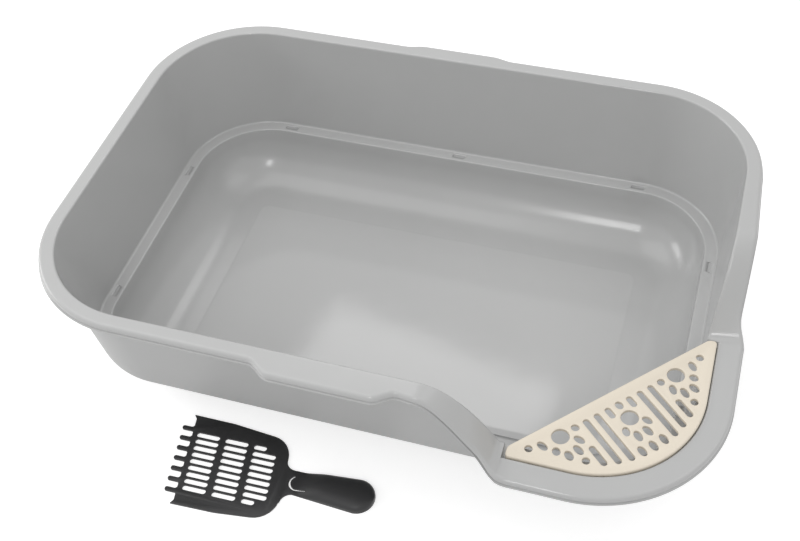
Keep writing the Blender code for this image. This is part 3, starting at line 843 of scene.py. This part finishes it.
def bladeOutline():
    s = scoop
    front, half, tooth = -s["bladeLength"], s["frontWidth"] / 2, s["toothWidth"] / 2
    gapRoot = front + s["hornLength"]
    tip, tipRadius = gapRoot - s["toothLength"], tooth * s["toothTip"]
    reach = (s["teeth"] - 1) / 2 * s["toothPitch"]
    corners = [
        ((front, half), 0.0),
        ((gapRoot, half - s["hornWidth"] / 2), s["hornWidth"] / 4),
        ((gapRoot, reach + s["slotOffset"] + tooth), tooth),
    ]
    for i in range(s["teeth"]):
        y = reach - i * s["toothPitch"] + s["slotOffset"]
        if i:
            corners.append(((gapRoot, y + tooth), tooth))
        corners += [((tip, y + tooth), tipRadius), ((tip, y - tooth), tipRadius)]
        if i < s["teeth"] - 1:
            corners.append(((gapRoot, y - tooth), tooth))
    corners += [
        ((gapRoot, s["slotOffset"] - reach - tooth), tooth),
        ((gapRoot, -half + s["hornWidth"] / 2), s["hornWidth"] / 4),
        ((front, -half), 0.0),
    ]
    bulge, bulgeHalf = -s["bladeLength"] * s["bulgePlace"], half * s["bulgeWidth"]
    neckRadius = s["neckRadius"] * s["neckShare"]
    back, root = s["backWidth"] / 2, s["rootWidth"] / 2
    corners += [
        ((bulge, -bulgeHalf), s["bladeLength"] / 2),
        ((-neckRadius, -back), s["cornerRadius"]),
        ((-neckRadius, -root), neckRadius),
        ((s["neckRadius"], -root), 0.0),
        ((s["neckRadius"], root), 0.0),
        ((-neckRadius, root), neckRadius),
        ((-neckRadius, back), s["cornerRadius"]),
        ((bulge, bulgeHalf), s["bladeLength"] / 2),
    ]
    return roundedOutline([(raked(point), radius) for point, radius in corners], 8)


def bladeOpenings():
    s = scoop
    made = []
    start = s["hornLength"] - s["bladeLength"] + s["slotFrontMargin"]
    for column in range(3):
        left = start + column * (s["slotLength"] + s["slotWeb"])
        for row in range(s["slotRows"]):
            y = (row - (s["slotRows"] - 1) / 2) * s["slotPitch"] + s["slotOffset"]
            short = column == 2 and row in (0, s["slotRows"] - 1)
            length = s["slotLength"] * (s["halfSlot"] if short else 1.0)
            middle = raked((left + length / 2, y))
            made.append((middle.x, middle.y, length, s["slotWidth"], 0.0, 1.0))
    return made


def loftRings(name, rings, material):
    shape = bmesh.new()
    rows = [[shape.verts.new(point) for point in ring] for ring in rings]
    for first, second in zip(rows, rows[1:]):
        for i in range(len(first)):
            j = (i + 1) % len(first)
            shape.faces.new((first[i], second[i], second[j], first[j]))
    shape.faces.new(rows[0])
    shape.faces.new(rows[-1])
    return closedPiece(name, shape, material)


def handleRings(shrink, drop):
    # the handle's cross-sections, or those of its hollow, which shrink and drop below the floor
    s = scoop
    endRadius = s["endWidth"] / 2 - shrink
    straight = s["handleLength"] - s["endWidth"] / 2
    start = -s["neckRadius"] * s["handleOverlap"] + shrink * s["hollowSetback"]
    marks = spread(start, straight, 20)
    turns = spread(0.0, quarter * s["endTurn"], 14)[1:]
    marks += [straight + endRadius * math.sin(angle) for angle in turns]
    rings = []
    for x in marks:
        share = max(0.0, min(1.0, x / straight))
        half = (s["rootWidth"] + (s["endWidth"] - s["rootWidth"]) * share) / 2 - shrink
        risen = smoothStep(x / s["handleRise"])
        height = s["thickness"] + (s["handleHeight"] - s["thickness"]) * risen - shrink
        past = (x - straight) / endRadius
        if past > 0:
            half *= math.sqrt(1.0 - past**2)
            height *= 1.0 - s["endFall"] * past**2
        height = max(height, s["leastHeight"])
        ring = [Vector((x, half, -drop)), Vector((x, -half, -drop))]
        for angle in spread(0.0, math.pi, 20):
            crown = height * math.sin(angle) ** s["handleCrown"]
            ring.append(Vector((x, -half * math.cos(angle), crown)))
        rings.append(ring)
    return rings


def tongueSlit():
    s = scoop
    centre = Vector((s["tongueRadius"] - s["tongueFront"], 0.0))
    turns = spread(*(math.radians(turn) for turn in s["tongueTurns"]), 24)
    reach = Vector((s["tongueArm"], 0.0))
    sides = []
    for radius in (s["tongueRadius"] + s["slitWidth"] / 2, s["tongueRadius"] - s["slitWidth"] / 2):
        side = [centre + Vector((math.cos(turn), math.sin(turn))) * radius for turn in turns]
        sides.append(side + [side[-1] + reach])
    return sides[0] + sides[1][::-1]


def makeScoop(material):
    blade = flatPlate("litterScoopFine", bladeOutline(), 0.0, scoop["thickness"], material)
    blade.location = (*scoop["root"], 0.0)
    blade.rotation_euler = (0.0, 0.0, math.radians(scoop["turn"]))
    roundEdges(blade, scoop["edgeRounding"], 3)
    handle = loftRings("scoopHandleForm", handleRings(0.0, 0.0), material)
    hollow = loftRings("scoopHandleHollow", handleRings(scoop["handleWall"], cutReach), material)
    slitTop = scoop["handleHeight"] + cutReach
    slit = flatPlate("scoopTongueSlit", tongueSlit(), -cutReach, slitTop, material)
    join(blade, handle, "UNION")
    join(blade, hollow, "DIFFERENCE")
    join(blade, slit, "DIFFERENCE")
    slots, top = bladeOpenings(), scoop["thickness"]
    points = cutOpenings(blade, "scoopSlots", slots, -cutReach, top, material)
    settle(blade, [handle, hollow, slit, points])
    cleanMesh(blade)
    blade.data.shade_smooth()
    blade.data.set_sharp_from_angle(angle=math.radians(scoop["creaseAngle"]))
    return blade


# Shared surface effects

surface = {
    "mottleScale": 32.0,
    "ridge": (0.505, 0.56),  # pointiness between which an edge is rubbed
    "ridgeBreaks": 220.0,
    "scuffTurn": 0.6,
    "scuffStretch": (1.0, 14.0, 3.0),
    "scuffLines": (0.66, 0.74),
    "scuffPatchScale": 16.0,
    "scuffPatches": (0.52, 0.66),
    "dustCloud": (0.25, 0.85),
    "bump": 0.15,
    "wornRoughness": 0.12,
    "dustRoughness": 0.5,
    "outwardRise": 12.0,  # how fast each mask rises from its edge
    "downwardRise": -25.0,
    "levelRise": 4.0,
    "levelStart": 3.0,
    "ledgeBand": 0.0004,
    "panelRise": -500.0,
    "panelBand": 0.001,
}


def objectSpot(tree):
    return shade(tree, "TexCoord", output="Object")


def faceNormal(tree):
    return splitVector(shade(tree, "NewGeometry", output="Normal"))


def noise(tree, spot, scale, detail):
    return shade(tree, "TexNoise", {"Vector": spot, "Scale": scale, "Detail": detail})


def remap(tree, value, start, end):
    return shade(tree, "MapRange", {0: value, 1: start, 2: end})


def effectTree(name, amounts, masks):
    inputs = [(label, "Float", value) for label, value in amounts]
    return newTree(name, "Shader", inputs, [(label, "Float") for label in masks])


def grainGroup():
    # fine moulded grain with a slow waviness under it
    amounts = (("grainScale", 1600.0), ("waveScale", 14.0), ("waveShare", 0.5))
    tree, source, result = effectTree("mouldedGrain", amounts, ("Height", "Mottle"))
    spot = objectSpot(tree)
    fine = noise(tree, spot, source.outputs["grainScale"], 3.0)
    wave = noise(tree, spot, source.outputs["waveScale"], 1.0)
    feed(tree, result.inputs["Height"], blend(wire(tree, source, "waveShare"), fine, wave))
    feed(tree, result.inputs["Mottle"], noise(tree, spot, surface["mottleScale"], 3.0))
    return tree


def wearGroup():
    # rubbed edges and a few fine hairline scuffs
    amounts = (("edgeAmount", 0.5), ("scuffAmount", 0.3), ("scuffScale", 90.0))
    tree, source, result = effectTree("rubbedEdges", amounts, ("Edge", "Scuff"))
    spot = objectSpot(tree)
    pointed = shade(tree, "NewGeometry", output="Pointiness")
    broken = noise(tree, spot, surface["ridgeBreaks"], 3.0)
    edge = remap(tree, pointed, *surface["ridge"]) * broken
    feed(tree, result.inputs["Edge"], edge * wire(tree, source, "edgeAmount"))
    lay = {"Rotation": (0.0, 0.0, surface["scuffTurn"]), "Scale": surface["scuffStretch"]}
    turned = shade(tree, "Mapping", {"Vector": spot, **lay})
    streak = noise(tree, turned, source.outputs["scuffScale"], 2.0)
    patch = noise(tree, spot, surface["scuffPatchScale"], 2.0)
    where = remap(tree, patch, *surface["scuffPatches"])
    scuff = remap(tree, streak, *surface["scuffLines"]) * where
    feed(tree, result.inputs["Scuff"], scuff * wire(tree, source, "scuffAmount"))
    return tree


def dustGroup():
    # a thin film of dust on what faces up
    amounts = (("dustAmount", 0.1), ("dustScale", 40.0))
    tree, source, result = effectTree("thinDust", amounts, ("Dust",))
    cloud = noise(tree, objectSpot(tree), source.outputs["dustScale"], 2.0)
    dust = clamp01(faceNormal(tree)[2]) * remap(tree, cloud, *surface["dustCloud"])
    feed(tree, result.inputs["Dust"], dust * wire(tree, source, "dustAmount"))
    return tree


def outwardMask(tree):
    # 1 on the leaning walls that face away from the middle, from a duller side of the mould
    x, y, z = splitVector(objectSpot(tree))
    nx, ny, nz = faceNormal(tree)
    away = clamp01((x * nx + y * ny) * surface["outwardRise"])
    return away * clamp01(nz * surface["downwardRise"])


def ledgePaintedLightMask(tree):
    # 1 on the flat of the inside ledge, which is painted a little paler: painted light, standing in
    # for the light the ledge catches
    z = splitVector(objectSpot(tree))[2]
    level = clamp01(faceNormal(tree)[2] * surface["levelRise"] - surface["levelStart"])
    return (abs(z - pan["ledgeHeight"]) < surface["ledgeBand"]) * level


def panelMask(tree):
    # 1 on the flat panel in the middle of the floor, which is painted a little paler: painted
    # light, a painted reflection of the lamps
    x, y, z = splitVector(objectSpot(tree))
    inset = pan["section"]["floorInset"]
    corner = pan["cornerRadius"] - inset
    overX, overY = (
        calc("MAXIMUM", abs(along) - (pan[size] / 2 - inset - corner), 0.0)
        for along, size in ((x, "rimLength"), (y, "rimWidth"))
    )
    past = calc("SQRT", overX * overX + overY * overY) - corner
    return clamp01(past * surface["panelRise"]) * (z < pan["wall"] + surface["panelBand"])


effects = {"grain": grainGroup(), "wear": wearGroup(), "dust": dustGroup()}

finishes = {
    "panGreyPlastic": {
        "colour": (0.46, 0.462, 0.46), "shade": (0.446, 0.448, 0.446),
        "worn": (0.54, 0.54, 0.535), "dust": (0.54, 0.53, 0.52),
        "roughness": 0.175, "roughnessSpread": 0.03,
        "grainScale": 1500.0, "waveScale": 30.0, "waveShare": 0.96, "bumpDepth": 0.0006,
        "edgeAmount": 0.2, "scuffAmount": 0.05, "dustAmount": 0.05,
        # paintedLightColour is painted light on the floor panel and the ledge flat, not a colour of
        # the plastic
        "outsideRoughness": 0.3, "paintedLightColour": (0.488, 0.49, 0.488), "panelRoughness": -0.095,
    },
    "grateCreamPlastic": {
        "colour": (0.74, 0.67, 0.56), "shade": (0.71, 0.64, 0.53),
        "worn": (0.84, 0.78, 0.69), "dust": (0.72, 0.67, 0.6),
        "roughness": 0.4, "roughnessSpread": 0.06,
        "grainScale": 1900.0, "waveScale": 40.0, "waveShare": 0.9, "bumpDepth": 0.0008,
        "edgeAmount": 0.25, "scuffAmount": 0.05, "dustAmount": 0.05,
    },
    "scoopBlackPlastic": {
        "colour": (0.02, 0.02, 0.021), "shade": (0.016, 0.016, 0.017),
        "worn": (0.05, 0.05, 0.051), "dust": (0.09, 0.09, 0.09),
        "roughness": 0.42, "roughnessSpread": 0.08,
        "grainScale": 1700.0, "waveScale": 45.0, "waveShare": 0.9, "bumpDepth": 0.0008,
        "edgeAmount": 0.4, "scuffAmount": 0.15, "dustAmount": 0.04,
    },
}


def useEffect(tree, name, look, amounts):
    values = {amount: look[amount] for amount in amounts}
    return addNode(tree, "ShaderNodeGroup", values, node_tree=effects[name])


def mixColour(tree, share, first, second):
    node = addNode(tree, "ShaderNodeMix", data_type="RGBA")
    for index, value in ((0, share), (6, first), (7, second)):
        feed(tree, node.inputs[index], (*value, 1.0) if isinstance(value, tuple) else value)
    return node.outputs[2]


def makeFinish(name):
    look = finishes[name]
    material = bpy.data.materials.new(name)
    material.use_nodes = True
    tree = material.node_tree
    shader = tree.nodes["Principled BSDF"]
    grain = useEffect(tree, "grain", look, ("grainScale", "waveScale", "waveShare"))
    wear = useEffect(tree, "wear", look, ("edgeAmount", "scuffAmount"))
    dust = wire(tree, useEffect(tree, "dust", look, ("dustAmount",)))
    mottle = wire(tree, grain, "Mottle")
    worn = clamp01(wire(tree, wear, "Edge") + wire(tree, wear, "Scuff"))
    colour = mixColour(tree, mottle, look["shade"], look["colour"])
    rough = (mottle - 0.5) * look["roughnessSpread"] + look["roughness"]
    if "paintedLightColour" in look:
        panel = panelMask(tree)
        # painted light: the floor panel and the ledge flat get a paler colour standing in for the
        # light they catch
        colour = mixColour(tree, clamp01(panel + ledgePaintedLightMask(tree)), colour, look["paintedLightColour"])
        rough = rough + outwardMask(tree) * look["outsideRoughness"]
        rough = rough + panel * look["panelRoughness"]
    colour = mixColour(tree, worn, colour, look["worn"])
    feed(tree, shader.inputs["Base Color"], mixColour(tree, dust, colour, look["dust"]))
    rough = rough + worn * surface["wornRoughness"] + dust * surface["dustRoughness"]
    feed(tree, shader.inputs["Roughness"], clamp01(rough))
    bump = {"Strength": surface["bump"], "Distance": look["bumpDepth"]}
    bump["Height"] = wire(tree, grain, "Height")
    feed(tree, shader.inputs["Normal"], shade(tree, "Bump", bump))
    return material


for make, finish, node, body, slot in (
    (makePan, "panGreyPlastic", "litter_pan", "pan", "pan_plastic"),
    (makeGrate, "grateCreamPlastic", "corner_grate", "grate", "grate_plastic"),
    (makeScoop, "scoopBlackPlastic", "litter_scoop", "scoop", "scoop_plastic"),
):
    piece = make(makeFinish(finish))
    print(body + ":", len(piece.data.polygons), "faces")
    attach(piece, body)
    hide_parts(node)


# Floor, lights and camera

studio = {
    "floorReach": 4.0,
    "floorColour": (0.66, 0.66, 0.66),
    "floorRoughness": 0.9,
    "floorLift": 0.6,
    "worldLevel": 0.735,
}

# each lamp as power, width, height, place, aim and turn in degrees
lamps = {
    "frontStrip": (4.1, 0.22, 0.58, (0.03, -1.35, 1.3), (0.0, 0.1, 0.05), 0.0),
    "panelOverhead": (2.15, 0.668, 0.32, (-0.367, 0.9966, 1.6), (-0.367, 0.9966, 0.0), -11.1),
    "sideBox": (6.0, 0.8, 0.5, (-1.6, -0.05, 0.75), (0.0, 0.0, 0.05), 0.0),
    "softLeft": (3.4, 1.0, 1.0, (-0.6, 0.0, 1.4), (-0.1, 0.0, 0.0), 0.0),
    "softRight": (1.8, 0.9, 0.9, (0.9, 0.2, 1.4), (-0.2, 0.0, 0.05), 0.0),
}

view = {
    "azimuth": 20.689,
    "elevation": 48.504,
    "roll": -4.589,
    "distance": 1.2187,
    "target": (-0.0307, 0.0552, 0.0),
    "lens": 53.237,
    "sensorWidth": 36.0,
    "farthest": 50.0,
}

white = (1.0, 1.0, 1.0, 1.0)


def seenDirectly(tree):
    path = addNode(tree, "ShaderNodeLightPath")
    camera, glossy, through = (
        wire(tree, path, f"Is {kind} Ray") for kind in ("Camera", "Glossy", "Transmission")
    )
    return clamp01(camera + glossy + through)


def makeFloor():
    reach = studio["floorReach"]
    mesh = bpy.data.meshes.new("studioFloor")
    corners = [(-reach, -reach, 0), (reach, -reach, 0), (reach, reach, 0), (-reach, reach, 0)]
    mesh.from_pydata(corners, [], [(0, 1, 2, 3)])
    floor = newPiece("studioFloor", mesh)
    material = bpy.data.materials.new("paleStudioFloor")
    material.use_nodes = True
    tree = material.node_tree
    for name, value in (
        ("Base Color", (*studio["floorColour"], 1.0)),
        ("Roughness", studio["floorRoughness"]),
        ("Specular IOR Level", 0.0),
        ("Emission Color", white),
        ("Emission Strength", seenDirectly(tree) * studio["floorLift"]),
    ):
        feed(tree, tree.nodes["Principled BSDF"].inputs[name], value)
    mesh.materials.append(material)


def makeWorld():
    world = bpy.data.worlds.new("studioWorld")
    bpy.context.scene.world = world
    world.use_nodes = True
    tree = world.node_tree
    background = tree.nodes["Background"]
    background.inputs["Color"].default_value = white
    level = blend(seenDirectly(tree), studio["worldLevel"], 1.0)
    feed(tree, background.inputs["Strength"], level)


def addAimed(name, data, place, aim, turn):
    # a lamp or camera that looks from its place to its aim, turned about that line
    facing = (Vector(aim) - Vector(place)).to_track_quat("-Z", "Y")
    facing = facing @ Quaternion((0.0, 0.0, 1.0), math.radians(turn))
    holder = newPiece(name, data)
    holder.matrix_world = Matrix.LocRotScale(Vector(place), facing, None)
    return holder


def addLamp(name, power, width, height, place, aim, turn):
    lamp = bpy.data.lights.new(name, "AREA")
    lamp.shape = "RECTANGLE"
    lamp.size, lamp.size_y = width, height
    lamp.energy = power
    addAimed(name, lamp, place, aim, turn)


def makeCamera():
    azimuth, elevation = math.radians(view["azimuth"]), math.radians(view["elevation"])
    level = math.cos(elevation)
    back = Vector((math.sin(azimuth) * level, -math.cos(azimuth) * level, math.sin(elevation)))
    camera = bpy.data.cameras.new("photoCamera")
    camera.lens = view["lens"]
    camera.sensor_width = view["sensorWidth"]
    camera.sensor_fit = "HORIZONTAL"
    camera.clip_end = view["farthest"]
    target = Vector(view["target"])
    place = target + back * view["distance"]
    bpy.context.scene.camera = addAimed("photoCamera", camera, place, target, view["roll"])


makeFloor()
makeWorld()
for name, settings in lamps.items():
    addLamp(name, *settings)
makeCamera()
bpy.context.scene.view_settings.view_transform = "Standard"
print("studio ready")
